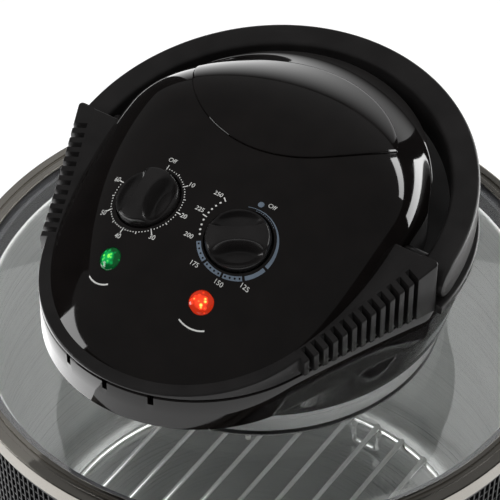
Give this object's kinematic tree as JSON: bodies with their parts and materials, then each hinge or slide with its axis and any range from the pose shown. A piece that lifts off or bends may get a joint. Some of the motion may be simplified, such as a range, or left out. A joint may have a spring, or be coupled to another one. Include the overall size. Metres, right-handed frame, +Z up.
{
  "type": "halogen oven",
  "caption": "Countertop halogen oven: a deep steel bowl in a black slatted casing under a hinged glass lid with a heating head, two dials, lamps and a fold-down handle.",
  "frame": {"origin": "on the bowl axis, in the plane of the table the foot ring stands on", "axes": "+Z up, front (nose of the head, dials and lamps) towards -Y, lid hinge at +Y, +X to the right seen from the front"},
  "size_m": [0.392, 0.3625, 0.3873],
  "materials": {
    "grey_rubber": "matt",
    "screw_steel": "bright zinc",
    "black_matt": "fine matt",
    "black_gloss": "high gloss",
    "black_satin": "satin",
    "black_metal": "satin paint",
    "liner_steel": "plain sheet",
    "bowl_steel": "polished wall, spun floor",
    "rim_steel": "polished",
    "rack_wire": "bright wire",
    "lid_glass": "clear toughened",
    "seal_silicone": "matt",
    "mica_board": "mineral board",
    "reflector_sheet": "bright",
    "quartz_tube": "clear quartz",
    "ceramic": "unglazed",
    "green_lens": "tinted",
    "red_lens": "tinted",
    "bulb_glass": "clear"
  },
  "bodies": {
    "base": {"foot_ring": "grey_rubber", "foot_screws": "screw_steel", "base_plate": "black_matt", "outer_casing": "black_matt", "rim_support": "black_matt", "heat_shield": "liner_steel", "bowl": "bowl_steel", "rack_ring": "rack_wire", "rack_wires": "rack_wire", "rack_feet": "rack_wire", "grip_left": "black_matt", "grip_right": "black_matt", "grip_screws": "screw_steel", "hinge_bracket": "black_metal", "hinge_pin": "screw_steel", "bracket_screws": "screw_steel"},
    "lid": {"lid_arm": "black_metal", "arm_screws": "screw_steel", "lid_glass": "lid_glass", "rim_band": "rim_steel", "rim_seal": "seal_silicone", "collar": "rim_steel", "glass_clamp": "liner_steel", "heat_board": "mica_board", "reflector": "reflector_sheet", "halogen_tube": "quartz_tube", "tube_holders": "ceramic", "guard_rings": "rack_wire", "guard_spokes": "rack_wire", "lower_housing": "black_gloss", "top_cover": "black_gloss", "side_vent_right": "black_satin", "side_vent_left": "black_satin", "cap_plate": "black_gloss", "motor_bracket": "liner_steel", "motor": "black_metal", "timer_unit": "ceramic", "thermostat": "ceramic", "timer_lamp": "green_lens", "heat_lamp": "red_lens", "lamp_bulbs": "bulb_glass", "terminal_block": "ceramic", "cable_gland": "black_matt", "cover_screws": "screw_steel", "handle_pins": "screw_steel", "safety_switch": "black_matt"},
    "fan": {"motor_shaft": "screw_steel", "circulation_fan": "reflector_sheet", "cooling_fan": "black_matt"},
    "timer": {"timer_knob": "black_gloss", "timer_shaft": "screw_steel"},
    "temperature": {"heat_knob": "black_gloss", "heat_shaft": "screw_steel"},
    "handle": {"handle": "black_satin"},
    "plunger": {"safety_plunger": "black_matt"}
  },
  "joints": [
    {"name": "lid_hinge", "type": "hinge", "parent": "base", "child": "lid", "pos_m": [0, 0.184, 0.242], "axis": [-1, 0, 0], "range_deg": [0, 85]},
    {"name": "handle_fold", "type": "hinge", "parent": "lid", "child": "handle", "pos_m": [0, 0.0034, 0.336], "axis": [1, 0, 0], "range_deg": [0, 80]},
    {"name": "timer_turn", "type": "hinge", "parent": "lid", "child": "timer", "pos_m": [-0.028, -0.0624, 0.36885], "axis": [0.1345, 0.3344, -0.9328], "range_deg": [-180, 105]},
    {"name": "temperature_turn", "type": "hinge", "parent": "lid", "child": "temperature", "pos_m": [0.028, -0.0624, 0.36885], "axis": [-0.1345, 0.3344, -0.9328], "range_deg": [-236, 80]},
    {"name": "fan_spin", "type": "hinge", "parent": "lid", "child": "fan", "pos_m": [0, 0, 0.3], "axis": [0, 0, 1], "continuous": true},
    {"name": "plunger_slide", "type": "slide", "parent": "lid", "child": "plunger", "axis": [0, 0, 1], "range_m": [0, 0.003]}
  ],
  "couplings": [
    {"joint": "plunger_slide", "follows": "handle_fold", "m_per_rad": 0.00214}
  ]
}
